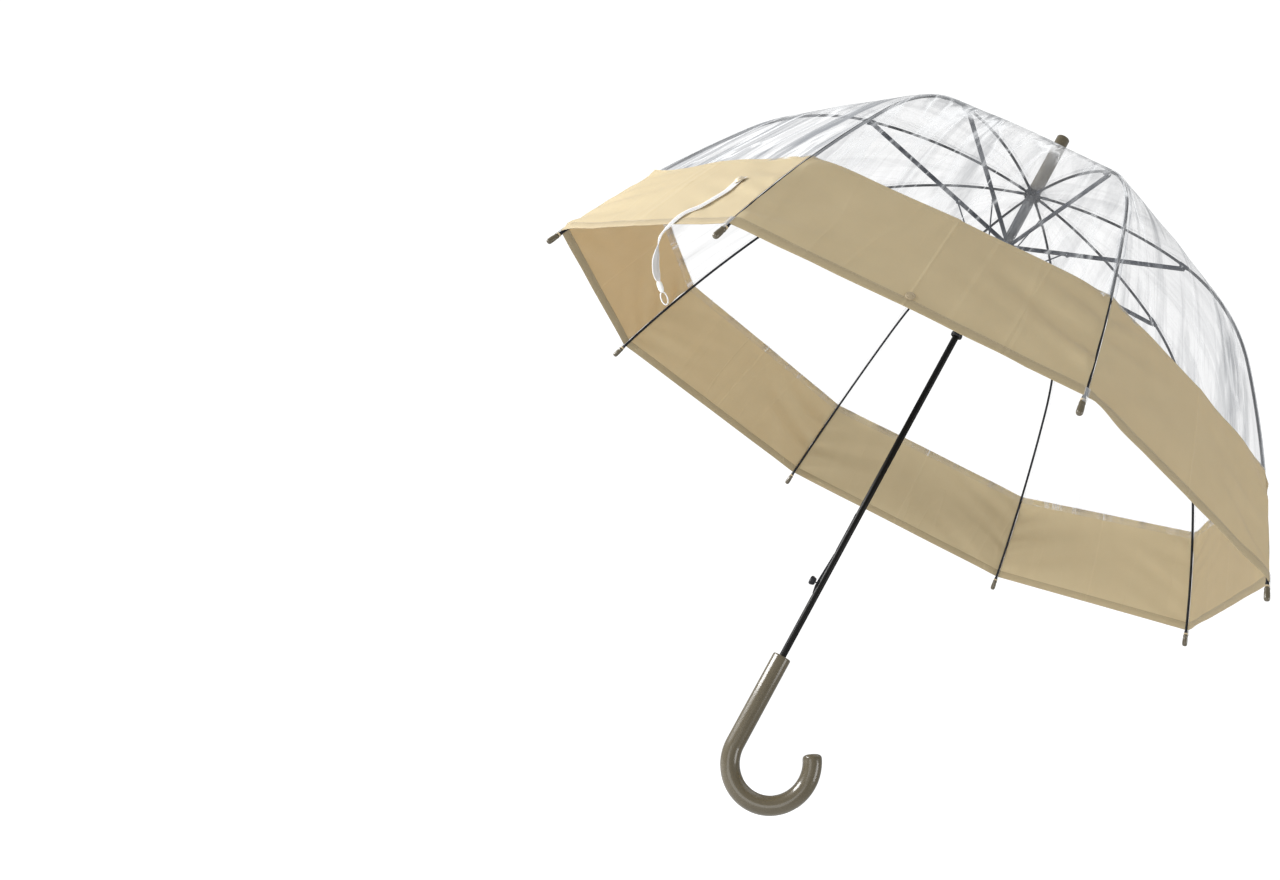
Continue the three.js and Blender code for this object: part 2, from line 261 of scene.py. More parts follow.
def carved(part, *cuts):
    """A part with others cut out of it."""
    whole, tool = mesh_of("whole", part), mesh_of("tool", together(*cuts))
    cut = whole.modifiers.new("cut", "BOOLEAN")
    cut.object = tool
    cut.solver = "EXACT"
    cut.use_self = True
    left = whole.evaluated_get(bpy.context.evaluated_depsgraph_get()).to_mesh()
    result = [v.co * 1000 for v in left.vertices], [list(f.vertices) for f in left.polygons]
    bpy.data.objects.remove(whole)
    bpy.data.objects.remove(tool)
    return result


def effect(name, inputs, outputs):
    """An empty node group with named sockets, and its input and output nodes."""
    group = bpy.data.node_groups.new(name, "ShaderNodeTree")
    for label, kind in inputs.items():
        group.interface.new_socket(label, in_out="INPUT", socket_type="NodeSocket" + kind)
    for label, kind in outputs.items():
        group.interface.new_socket(label, in_out="OUTPUT", socket_type="NodeSocket" + kind)
    return group, group.nodes.new("NodeGroupInput").outputs, group.nodes.new("NodeGroupOutput").inputs


def math_of(tree, operation, a, b=0.0, clamp=False):
    return node(tree, "Math", {0: a, 1: b}, operation=operation, use_clamp=clamp).outputs[0]


def times(tree, a, b, clamp=False):
    return math_of(tree, "MULTIPLY", a, b, clamp)


def plus(tree, a, b, clamp=False):
    return math_of(tree, "ADD", a, b, clamp)


def minus(tree, a, b, clamp=False):
    return math_of(tree, "SUBTRACT", a, b, clamp)


def blend_of(tree, share, a, b):
    """A colour between a and b."""
    return node(tree, "Mix", {"Factor": share, 6: a, 7: b}, data_type="RGBA").outputs[2]


def finish(name, plain):
    """A material whose Principled shader has the plain values given."""
    made = bpy.data.materials.new(name)
    made.use_nodes = True
    shader = made.node_tree.nodes["Principled BSDF"]
    for socket, value in plain.items():
        shader.inputs[socket].default_value = value
    return made, made.node_tree, shader


def used(tree, group, inputs):
    placed = node(tree, "Group", node_tree=group)
    for socket, value in inputs.items():
        if isinstance(value, bpy.types.NodeSocket):
            tree.links.new(value, placed.inputs[socket])
        else:
            placed.inputs[socket].default_value = value
    return placed.outputs


# Handling marks on hard pieces: a cloudy wipe in the gloss, a faint change of shade, and fine pitting.
handled, given, result = effect(
    "Handled Surface",
    {"Vector": "Vector", "Cloud Size": "Float", "Grain Size": "Float", "Gloss": "Float", "Wipe": "Float"},
    {"Roughness": "Float", "Shade": "Float", "Height": "Float"})
cloud = node(handled, "TexNoise", {"Vector": given["Vector"], "Detail": 3.0, "Roughness": 0.6,
                                   "Scale": math_of(handled, "DIVIDE", 1.0, given["Cloud Size"])})
grain = node(handled, "TexNoise", {"Vector": given["Vector"], "Detail": 2.0,
                                   "Scale": math_of(handled, "DIVIDE", 1.0, given["Grain Size"])})
wiped = times(handled, minus(handled, cloud.outputs[0], 0.45), given["Wipe"])
handled.links.new(plus(handled, given["Gloss"], wiped, clamp=True), result["Roughness"])
handled.links.new(cloud.outputs[0], result["Shade"])
handled.links.new(grain.outputs[0], result["Height"])


def hard_finish(name, light, dark, gloss, cloud_size, grain_size, wipe, pitting, plain):
    """A hard material between two near shades, with handling marks."""
    made, tree, shader = finish(name, plain)
    where = node(tree, "TexCoord").outputs["Object"]
    marks = used(tree, handled, {"Vector": where, "Cloud Size": cloud_size, "Grain Size": grain_size,
                                 "Gloss": gloss, "Wipe": wipe})
    tree.links.new(blend_of(tree, marks["Shade"], dark, light), shader.inputs["Base Color"])
    tree.links.new(marks["Roughness"], shader.inputs["Roughness"])
    bump = node(tree, "Bump", {"Height": marks["Height"], "Strength": pitting, "Distance": 0.0002})
    tree.links.new(bump.outputs[0], shader.inputs["Normal"])
    return made


def span(node_name):
    """The lowest and highest Z of a CAD node, in millimetres."""
    low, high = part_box(node_name)
    return low.z * 1000, high.z * 1000


black_coat = hard_finish("black_stoved_steel", (0.006, 0.0055, 0.005, 1), (0.003, 0.003, 0.003, 1),
                         gloss=0.34, cloud_size=0.012, grain_size=0.0012, wipe=0.08, pitting=0.04,
                         plain={"Specular IOR Level": 0.14})
SHAFT_RADIUS = 4
SLOT_HALF, SLOT_SPARE = 1.1, 4
shaft_low, shaft_high = span("shaft")
catch_low, catch_high = span("catch")
tube_outline = [(0, shaft_low), (SHAFT_RADIUS, shaft_low), (SHAFT_RADIUS, shaft_high), (0, shaft_high)]
tube = turned(eased(tube_outline, 0.5))
slot = block((-SHAFT_RADIUS - 1, -SLOT_HALF, catch_low - SLOT_SPARE),
             (2.7, SLOT_HALF, catch_high + SLOT_SPARE))
piece("shaft_tube", carved(tube, slot), black_coat, "frame", ["shaft"])
leaf_top = catch_high + 52
leaf = block((-SHAFT_RADIUS - 0.2, -0.9, catch_high + SLOT_SPARE), (-SHAFT_RADIUS + 0.4, 0.9, leaf_top), 0.2)
leaf_root = block((-SHAFT_RADIUS - 0.3, -1.5, leaf_top - 5), (-SHAFT_RADIUS + 0.6, 1.5, leaf_top + 1), 0.3)
piece("shaft_leaf_spring", together(leaf, leaf_root), black_coat, "frame")


# ---- Handle and ferrule -------------------------------------------------------------------------------
# Both are mouldings in one olive-taupe plastic with a hard gloss. The J handle is a round bar of even
# thickness with a blunt end, and the ferrule is a plain tube closed over the shaft's top.

olive = hard_finish("olive_taupe_gloss", (0.098, 0.081, 0.049, 1), (0.083, 0.067, 0.039, 1),
                    gloss=0.34, cloud_size=0.02, grain_size=0.0035, wipe=0.06, pitting=0.02,
                    plain={"Specular IOR Level": 0.3, "Coat Weight": 0.6, "Coat Roughness": 0.09})
GRIP_RADIUS = 10.7
GRIP_MOUTH = ((0, 0.86), (0.15, 0.92), (0.5, 0.965), (1.1, 0.993), (1.8, 1))   # depth, share of full width
HOOK = {"height": -50, "radius": 45, "turn": math.radians(211), "steps": 72}
NOSE = {"length": 6.5, "steps": 12, "blunt": 0.12}
grip_top = span("handle")[1]
route = [(0, 0, grip_top - depth) for depth, width in GRIP_MOUTH]
route += [(0, 0, grip_top - 8 - 12 * i) for i in range(9)]
for i in range(HOOK["steps"] + 1):
    a = math.pi + HOOK["turn"] * i / HOOK["steps"]
    route.append((HOOK["radius"] * (1 + math.cos(a)), 0, HOOK["height"] + HOOK["radius"] * math.sin(a)))
onward, end = Vector((-math.sin(a), 0, math.cos(a))), Vector(route[-1])
widths = [width for depth, width in GRIP_MOUTH] + [1] * (len(route) - len(GRIP_MOUTH))
for i in range(1, NOSE["steps"] + 1):
    t = math.sin(i / NOSE["steps"] * math.pi / 2)
    route.append(tuple(end + onward * NOSE["length"] * t))
    widths.append((1 - t ** 3) ** (1 / 3) if i < NOSE["steps"] else NOSE["blunt"])
bar = swept(route, ring_section(GRIP_RADIUS, 48), side=(0, 1, 0), scales=widths)
bore = turned([(0, grip_top - 5), (SHAFT_RADIUS + 0.1, grip_top - 5), (SHAFT_RADIUS + 0.1, grip_top - 0.5),
               (SHAFT_RADIUS + 0.6, grip_top + 1), (0, grip_top + 1)])
piece("j_handle", carved(bar, bore), olive, "frame", ["handle"], crisp=40)

ferrule_low, ferrule_high = span("ferrule")
FERRULE_RADIUS = 8.5
sleeve = [(0, ferrule_low + 1), (SHAFT_RADIUS, ferrule_low + 1), (SHAFT_RADIUS, ferrule_low),
          (FERRULE_RADIUS, ferrule_low), (FERRULE_RADIUS, ferrule_high), (FERRULE_RADIUS - 1.2, ferrule_high),
          (FERRULE_RADIUS - 1.7, ferrule_high - 0.5), (0, ferrule_high - 0.5)]
piece("ferrule_tube", turned(eased(sleeve, 0.9)), olive, "frame", ["ferrule"])


# ---- Crown notch --------------------------------------------------------------------------------------
# A black moulding pinned to the shaft under the ferrule. Eight slots in its flange hold the flattened rib
# ends, which are threaded on a ring of tie wire.

black_plastic = hard_finish("black_moulding", (0.010, 0.011, 0.014, 1), (0.006, 0.006, 0.009, 1),
                            gloss=0.38, cloud_size=0.008, grain_size=0.0009, wipe=0.12, pitting=0.08,
                            plain={"Specular IOR Level": 0.3})
steel = hard_finish("blued_steel", (0.016, 0.021, 0.032, 1), (0.009, 0.012, 0.020, 1),
                    gloss=0.36, cloud_size=0.010, grain_size=0.0010, wipe=0.15, pitting=0.08,
                    plain={"Specular IOR Level": 0.35})
bright_steel = hard_finish("plated_steel", (0.62, 0.62, 0.63, 1), (0.48, 0.48, 0.50, 1),
                           gloss=0.25, cloud_size=0.004, grain_size=0.0006, wipe=0.2, pitting=0.2,
                           plain={"Metallic": 1.0})
RIBS = 8
STEP = math.tau / RIBS
HALF_STEP = STEP / 2
RIB_PIVOT = {"r": 8, "z": 706.8}
TIE_WIRE = 0.35


def at_rib(k):
    return Matrix.Rotation(HALF_STEP + (k - 1) * STEP, 4, "Z")


def hoop(radius, wire, height):
    """A ring of round wire lying level."""
    angles = [math.tau * i / 10 for i in range(10)]
    section = [(radius + wire * math.cos(a), height + wire * math.sin(a)) for a in angles]
    return turned(section + [(radius + wire, height)], 64)


def crosswise(x, y, z, radius, length, sides=16, ease=0.25):
    """A pin or disc with its axis across the rib, centred at x, y, z."""
    half = length / 2
    disc = turned(eased([(0, -half), (radius, -half), (radius, half), (0, half)], ease), sides)
    return moved(disc, Matrix.Translation((x, y, z)) @ Matrix.Rotation(math.pi / 2, 4, "X"))


def slotted(outline, ease, low, high, *cuts):
    """A turned moulding with a slot for each rib, cut from corner low to corner high."""
    slots = [moved(block(low, high), at_rib(k)) for k in range(1, RIBS + 1)]
    return carved(turned(eased(outline, ease), 64), *cuts, *slots)


notch_low, notch_high = span("top_notch")
notch_outline = [(SHAFT_RADIUS, notch_low), (6.2, notch_low), (6.2, notch_low + 1.6), (5.6, notch_low + 2.2),
                 (5.6, notch_low + 3), (6.2, notch_low + 3.6), (6.2, notch_high - 7), (11, notch_high - 7),
                 (11, notch_high), (SHAFT_RADIUS, notch_high), (SHAFT_RADIUS, notch_low)]
notch_body = slotted(notch_outline, 0.5, (6.3, -1.7, notch_high - 8), (12, 1.7, notch_high + 1))
piece("crown_notch", notch_body, black_plastic, "frame", ["top_notch"])
piece("crown_tie_wire", hoop(RIB_PIVOT["r"], TIE_WIRE, RIB_PIVOT["z"]), bright_steel, "frame")
piece("crown_pin", crosswise(0, 0, notch_low + 8.2, 1.1, 12.9), bright_steel, "frame")


# ---- Opening spring -----------------------------------------------------------------------------------
# A coil of dark spring wire round the shaft between the notch and the upper runner. Its ends are closed
# turns.

spring_steel = hard_finish("dark_spring_wire", (0.030, 0.036, 0.048, 1), (0.016, 0.020, 0.028, 1),
                           gloss=0.33, cloud_size=0.006, grain_size=0.0008, wipe=0.1, pitting=0.08,
                           plain={"Specular IOR Level": 0.6})
spring_low, spring_high = span("open_spring")
COIL = {"radius": 5.85, "wire": 0.72, "turns": 21, "steps": 28}
coil_steps = COIL["turns"] * COIL["steps"]
coil_route = []
for i in range(coil_steps + 1):
    share = i / coil_steps
    closed = 0.035 * math.sin(math.tau * share) / math.tau
    height = spring_low + COIL["wire"] + (spring_high - spring_low - 2 * COIL["wire"]) * (share - closed)
    a = math.tau * COIL["turns"] * share
    coil_route.append((COIL["radius"] * math.cos(a), COIL["radius"] * math.sin(a), height))
coil_wire = swept(coil_route, ring_section(COIL["wire"], 8))
coil = piece("opening_coil", coil_wire, spring_steel, None, ["open_spring"], crisp=60)
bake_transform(coil)


# ---- Upper runner -------------------------------------------------------------------------------------
# A black moulding that slides on the shaft. The stretchers' lower ends hinge in its eight slots, each set
# to one side of the rib's plane, on a ring of wire.

UPPER = {"z": 630, "pivot": 8, "side": 3.5}
upper_low, upper_high = span("upper_runner")
pivot_z, aside = UPPER["z"], UPPER["side"]
upper_outline = [(4.4, upper_low), (7.4, upper_low), (8.6, upper_low + 1.2), (8.6, upper_low + 2.6),
                 (8.0, upper_low + 3.2), (8.0, upper_low + 4.2), (8.6, upper_low + 4.8), (8.6, pivot_z - 4),
                 (9.8, pivot_z - 4), (9.8, pivot_z + 4), (5.7, pivot_z + 4), (5.7, upper_high),
                 (4.4, upper_high), (4.4, upper_low)]
upper_body = slotted(upper_outline, 0.4, (5, aside - 2.1, pivot_z - 3.2), (12, aside + 2.1, pivot_z + 5))
piece("upper_runner_moulding", upper_body, black_plastic, "upper_runner_body",
      ["upper_runner"])
piece("upper_runner_wire", hoop(math.hypot(UPPER["pivot"], aside), TIE_WIRE, pivot_z), bright_steel,
      "upper_runner_body")


# ---- Hand runner --------------------------------------------------------------------------------------
# The long black sleeve that the hand pushes: a lipped collar below with the catch's window in it, a
# straight barrel, and a flange above with eight slots for the wires.

HAND = {"z": 576.6, "pivot": 9.5, "side": 0.4}
hand_low, hand_high = span("hand_runner")
pivot_z, aside = HAND["z"], HAND["side"]
hand_outline = [(4.4, hand_low), (6.2, hand_low), (7.2, hand_low + 0.8), (7.2, hand_low + 3.8),
                (6.3, hand_low + 5.4), (6.3, hand_low + 26), (6.8, hand_low + 27), (6.8, hand_low + 29),
                (6.3, hand_low + 30), (6.3, pivot_z - 12), (8, pivot_z - 6), (11.5, pivot_z - 4.5),
                (11.5, pivot_z + 4), (7, pivot_z + 5), (7, hand_high), (4.4, hand_high), (4.4, hand_low)]
window = block((-9, -1.4, hand_low - 1), (0, 1.4, hand_low + 24))
hand_body = slotted(hand_outline, 0.5, (7.2, aside - 1.2, pivot_z - 2.4), (13, aside + 1.2, pivot_z + 10),
                    window)
piece("hand_runner_sleeve", hand_body, black_plastic, "hand_runner_body", ["hand_runner"])
piece("hand_runner_wire", hoop(HAND["pivot"], TIE_WIRE, pivot_z), bright_steel, "hand_runner_body")


# ---- Release catch ------------------------------------------------------------------------------------
# A toothed black leaf in the shaft's slot that holds the hand runner when the umbrella is shut, and the
# faceted knob that pushes it in, on a thin stem.

KNOB = {"x": -11, "z": 147}
tooth = [(-1.2, catch_low), (-4.3, catch_low), (-6, KNOB["z"] - 4), (-6, KNOB["z"] + 4), (-4.1, catch_high),
         (-1.2, catch_high), (-1.2, catch_low)]
leaf_plate = swept([(0, -0.8, 0), (0, 0.8, 0)], eased(tooth, 0.8)[:-1], side=(1, 0, 0))
stem = moved(turned(eased([(0, -6.5), (0.8, -6.5), (0.8, 0), (0, 0)], 0.1), 16),
             Matrix.Translation((-3.5, 0, KNOB["z"])) @ Matrix.Rotation(math.pi / 2, 4, "Y"))
knob_outline = [(0, -3.4), (3.4, -3.4), (4.1, -3.0), (5.3, 0.4), (5.4, 2.0), (4.6, 3.1), (3.4, 3.4),
                (2.8, 2.7), (0, 2.5)]
knob = moved(turned(knob_outline, 9), Matrix.Translation((KNOB["x"], 0, KNOB["z"])) @
             Matrix.Rotation(-math.pi / 2, 4, "Y"))
piece("catch_leaf_and_knob", together(leaf_plate, stem, knob), black_plastic, "catch_body",
      ["catch"], crisp=25)


# ---- Ribs ---------------------------------------------------------------------------------------------
# Eight black fibre rods, bowed by the film. Each has a flattened steel end in the notch and a folded steel
# bracket where its stretcher holds it.

RIB_RADIUS = 1.6
RIB_START_SLOPE = math.radians(-1.5)
RIB_ARCS = ((220, math.radians(-22.6)), (159, math.radians(-58.5)), (271, math.radians(-70.5)))
RIB_LENGTH = sum(length for length, slope in RIB_ARCS)
RIB_FLEX = 285
JOINT = {"at": 222, "drop": 2.5}


def rib_at(along):
    """Radius, height and slope of a rib's centre line, at a distance along it from its hinge."""
    r, z, slope, left = RIB_PIVOT["r"], RIB_PIVOT["z"], RIB_START_SLOPE, along
    for number, (length, arc_slope) in enumerate(RIB_ARCS):
        bend = (arc_slope - slope) / length
        run = left if number == len(RIB_ARCS) - 1 else min(left, length)
        end_slope = slope + bend * run
        r += (math.sin(end_slope) - math.sin(slope)) / bend
        z -= (math.cos(end_slope) - math.cos(slope)) / bend
        slope = end_slope
        left -= run
        if left <= 0:
            break
    return r, z, slope


def rib_path(start, stop, steps):
    stations = [rib_at(start + (stop - start) * i / steps) for i in range(steps + 1)]
    return [(r, 0, z) for r, z, slope in stations]


def along_rib(part, along):
    """A part made along +X, set on the rib's centre line."""
    r, z, slope = rib_at(along)
    return moved(part, Matrix.Translation((r, 0, z)) @ Matrix.Rotation(-slope, 4, "Y"))


fibre = hard_finish("black_fibre_rod", (0.008, 0.009, 0.012, 1), (0.004, 0.005, 0.007, 1),
                    gloss=0.38, cloud_size=0.010, grain_size=0.0008, wipe=0.12, pitting=0.08,
                    plain={"Specular IOR Level": 0.25})
TIP_CAP_LENGTH = 14.5
FLEX_REACH = 26
rod_points = rib_path(3, RIB_LENGTH - TIP_CAP_LENGTH + 4, 110)
rod_part = swept(rod_points, ring_section(RIB_RADIUS, 14), side=(0, 1, 0))
flex_start, flex_end = (rib_at(RIB_FLEX + side * FLEX_REACH) for side in (-1, 1))
root_sleeve = moved(turned(eased([(0, 0), (1.9, 0), (1.9, 8), (0, 8)], 0.5), 16),
                    Matrix.Translation((6.5, 0, 0)) @ Matrix.Rotation(math.pi / 2, 4, "Y"))
root_eye = together(block((0.5, -0.8, -1.5), (9, 0.8, 1.5), 0.4), crosswise(0, 0, 0, 2.1, 1.6), root_sleeve)
bracket = together(block((-7, -1.9, -1.9), (7, 1.9, 1.75), 0.7), block((-4, -1.7, -4.4), (4, 1.7, -1.5), 0.5))
fittings = together(along_rib(root_eye, 0), along_rib(bracket, JOINT["at"]))
joint_r, joint_z, joint_slope = rib_at(JOINT["at"])
pin_r = joint_r + JOINT["drop"] * math.sin(joint_slope)
pin_z = joint_z - JOINT["drop"] * math.cos(joint_slope)
rivet = crosswise(pin_r, 1.6, pin_z, 1.25, 8.4)
for k in range(1, RIBS + 1):
    inner, outer = f"rib_inner_body_{k}", f"rib_outer_body_{k}"
    rod = piece(f"rib_rod_{k}", moved(rod_part, at_rib(k)), fibre, None,
                [f"rib_inner_{k}", f"rib_outer_{k}"], crisp=50)
    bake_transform(rod)
    piece(f"rib_fittings_{k}", moved(fittings, at_rib(k)), steel, inner)
    piece(f"rib_rivet_{k}", moved(rivet, at_rib(k)), bright_steel, inner)


# ---- Rib tips -----------------------------------------------------------------------------------------
# Olive-taupe caps with a waist and a round end, pushed on the rods below the hem. Each has a black
# collar at its mouth.

cap_outline = [(0, -0.6), (1.7, -0.6), (2.3, 0), (2.9, 0.8), (3.05, 2), (2.85, 3.2), (2.85, 4), (3.1, 5.4),
               (3.2, 8), (3.2, 11.6), (2.9, 13), (2.2, 14), (1.1, 14.42), (0, 14.5)]
collar_outline = [(1.4, -5.2), (1.9, -5.2), (2.05, -4.8), (2.05, -1), (1.8, -0.6), (1.4, -0.6), (1.4, -5.2)]
lying = Matrix.Rotation(math.pi / 2, 4, "Y")
for k in range(1, RIBS + 1):
    for name, outline, material, slot_name in (("tip_cap", cap_outline, olive, "olive_gloss"),
                                               ("tip_collar", collar_outline, black_plastic, "black_fibre")):
        tip = along_rib(moved(turned(eased(outline, 0.25, 2), 28), lying), RIB_LENGTH - TIP_CAP_LENGTH)
        piece(f"{name}_{k}", moved(tip, at_rib(k)), material, f"rib_outer_body_{k}", crisp=50)


# ---- Stretchers ---------------------------------------------------------------------------------------
# Folded steel channels, open below, from the upper runner to the ribs. A rivet a third of the way out
# holds the wire, between two pressed ears.

stretch = Vector((pin_r - UPPER["pivot"], pin_z - UPPER["z"]))
pitch = math.atan2(stretch.y, stretch.x)
WIRE_AT = 73
half, depth, wall = 1.8, 2.2, 0.6
outer_bow = eased([(-half, -depth), (-half, depth), (half, depth), (half, -depth)], 0.9)
inner_bow = eased([(half - wall, -depth), (half - wall, depth - wall), (-half + wall, depth - wall),
                   (-half + wall, -depth)], 0.5)
channel = swept([(x, 0, 0) for x in (-1.7, 0, stretch.length / 2, stretch.length, stretch.length + 1.5)],
                outer_bow + inner_bow, side=(0, 1, 0))
heel = crosswise(0, 0, 0, 1.9, 3.0)
ears = together(crosswise(WIRE_AT, 0, -0.8, 2.6, 4.4),
                block((WIRE_AT - 5, -2.1, -1.9), (WIRE_AT + 5, 2.1, 1.4), 0.8))
wire_rivet = together(crosswise(WIRE_AT, 0, -0.6, 1.1, 6.2), crosswise(WIRE_AT, 0, -0.6, 1.7, 5.4))
upper_pivot = Matrix.Translation((UPPER["pivot"], UPPER["side"], UPPER["z"]))
on_stretcher = upper_pivot @ Matrix.Rotation(-pitch, 4, "Y")
for k in range(1, RIBS + 1):
    place, body = at_rib(k) @ on_stretcher, f"stretcher_body_{k}"
    piece(f"stretcher_channel_{k}", moved(together(channel, heel, ears), place), steel, body,
          [f"stretcher_{k}"])
    piece(f"stretcher_rivet_{k}", moved(wire_rivet, place), bright_steel, body)


# ---- Wires --------------------------------------------------------------------------------------------
# Thin black steel links that carry the hand runner's push to the stretchers, with an eye bent at each end.

WIRE_RADIUS = 0.9
foot = Vector((HAND["pivot"], HAND["side"], HAND["z"]))
head = Vector((UPPER["pivot"] + WIRE_AT * math.cos(pitch), HAND["side"],
               UPPER["z"] + WIRE_AT * math.sin(pitch)))
link = swept([foot.lerp(head, t) for t in (0.0, 0.02, 0.5, 0.98, 1.0)], ring_section(WIRE_RADIUS, 12),
             side=(0, 1, 0))
eyes = together(crosswise(*foot, 1.5, 1.5), crosswise(*head, 1.5, 1.5))
for k in range(1, RIBS + 1):
    piece(f"wire_link_{k}", moved(together(link, eyes), at_rib(k)), steel, f"wire_body_{k}",
          [f"wire_{k}"])


# ---- Clear film ---------------------------------------------------------------------------------------
# Soft clear vinyl, one panel from rib to rib, with a fold down its middle and fine creases from packing.
# The panels are welded to one another along the ribs, and each bends with the rib under it.

FILM_FROM, SEAM_AT, HEM_AT = 5, 509, 629
SKIN_LIFT = 2.3


def panel_point(k, along, share, lift):
    """A point over panel k: share runs from -1 at its first rib to 1 at the next, and lift is outward."""
    r, z, slope = rib_at(along)
    across = math.cos(HALF_STEP)
    tangent = Vector((math.cos(slope) * across, math.sin(slope))).normalized()
    x = r * across - tangent.y * lift
    point = Vector((x, share * x * math.tan(HALF_STEP), z + tangent.x * lift))
    return Matrix.Rotation(k * STEP, 4, "Z") @ point


def half_width(along):
    return rib_at(along)[0] * math.sin(HALF_STEP)


def panel_lift(k, along, share, cloth=False):
    """How far the skin of panel k stands off the rib line: a soft fold down the middle, slack and pulls."""
    from_rib = (1 - abs(share)) * half_width(along)
    fade = 1 if along < SEAM_AT else 1 - 0.6 * (along - SEAM_AT) / (HEM_AT - SEAM_AT)
    fold = (5.0 if cloth else 2.2) * (1 - abs(share)) * fade
    wave = noise.noise(Vector((share * 1.6 + k * 7.3, along / 95, k)))
    slack = (1.0 if cloth else 1.8) * (1 - share * share) * wave
    side = 1 if share > 0 else -1
    across_pull = (along + from_rib * (0.28 if cloth else 0.9)) / (23 if cloth else 17)
    pulls = noise.noise(Vector((across_pull + k * 3.1, from_rib / 90, k * 5 + side))) * min(1, from_rib / 9)
    pulls *= 8.5 * math.exp(-from_rib / 65) if cloth else 1.4 * math.exp(-from_rib / 42)
    return SKIN_LIFT + min(1, along / 60) * max(fold + slack + pulls, -0.3)


def quilted(rows):
    """Corners and faces of rows of points, joined row to row."""
    count = len(rows[0])
    faces = []
    for i in range(len(rows) - 1):
        a, b = i * count, (i + 1) * count
        faces += [[a + j, a + j + 1, b + j + 1, b + j] for j in range(count - 1)]
    return [p for row in rows for p in row], faces


def spread(count, edge_share=0.35):
    """Shares from -1 to 1, closer together near the ribs and the middle."""
    shares = [-1 + 2 * i / count for i in range(count + 1)]
    return [s - edge_share * math.sin(math.tau * s) / math.tau for s in shares]


def lay_out(made, places):
    """Stores each corner's place on the flat cut: metres from the panel's middle, metres down, and panel."""
    layer = made.data.attributes.new("cut", "FLOAT_VECTOR", "POINT")
    layer.data.foreach_set("vector", [value for place in places for value in place])


def cut_place(k, along, share):
    return share * half_width(along) / 1000, along / 1000, k


def folds_with(made):
    """Gives a piece its own copy of its mesh."""
    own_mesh(made)


# Creases in soft sheet: hairlines down the sheet and aslant, streaky haze, and the fold down its middle.
creased, given, result = effect(
    "Sheet Creases",
    {"Vector": "Vector", "Line Size": "Float", "Line Width": "Float", "Fold Width": "Float"},
    {"Lines": "Float", "Haze": "Float", "Fold": "Float", "Height": "Float"})
line_scale = math_of(creased, "DIVIDE", 1.0, given["Line Size"])
streams = [node(creased, "Mapping", {"Vector": given["Vector"], "Rotation": (0, 0, turn),
                                     "Scale": (1, run, 3.7)}).outputs[0]
           for turn, run in ((0.04, 0.055), (0.85, 0.2))]


def streaks(vector, scale, detail, roughness, low, high):
    """Noise drawn out along a stream, from none at low to full at high."""
    noisy = node(creased, "TexNoise", {"Vector": vector, "Detail": detail, "Roughness": roughness,
                                       "Scale": times(creased, line_scale, scale)}).outputs[0]
    return node(creased, "MapRange", {"Value": noisy, "From Min": low, "From Max": high}).outputs[0]


ridges = []
for stream in streams:
    swirl = node(creased, "TexNoise", {"Vector": stream, "Detail": 3.0, "Roughness": 0.5, "Distortion": 0.3,
                                       "Scale": line_scale})
    off_middle = math_of(creased, "ABSOLUTE", minus(creased, swirl.outputs[0], 0.5))
    off_line = math_of(creased, "DIVIDE", off_middle, given["Line Width"])
    sharp = minus(creased, 1.0, off_line, clamp=True)
    ridges.append(times(creased, sharp, streaks(stream, 0.4, 1.0, 0.5, 0.42, 0.55)))
lines = math_of(creased, "MAXIMUM", *ridges)
soft = streaks(streams[0], 2.8, 5.0, 0.6, 0.44, 0.66)
hard = streaks(streams[1], 1.1, 4.0, 0.55, 0.52, 0.58)
hazy = plus(creased, times(creased, soft, 0.65), times(creased, hard, 0.35))
from_middle = math_of(creased, "ABSOLUTE", node(creased, "SeparateXYZ", {0: given["Vector"]}).outputs[0])
folded = minus(creased, 1.0, math_of(creased, "DIVIDE", from_middle, given["Fold Width"]), clamp=True)
relief = plus(creased, plus(creased, lines, times(creased, hazy, 0.6)), folded)
for name, value in (("Lines", lines), ("Haze", hazy), ("Fold", folded), ("Height", relief)):
    creased.links.new(value, result[name])


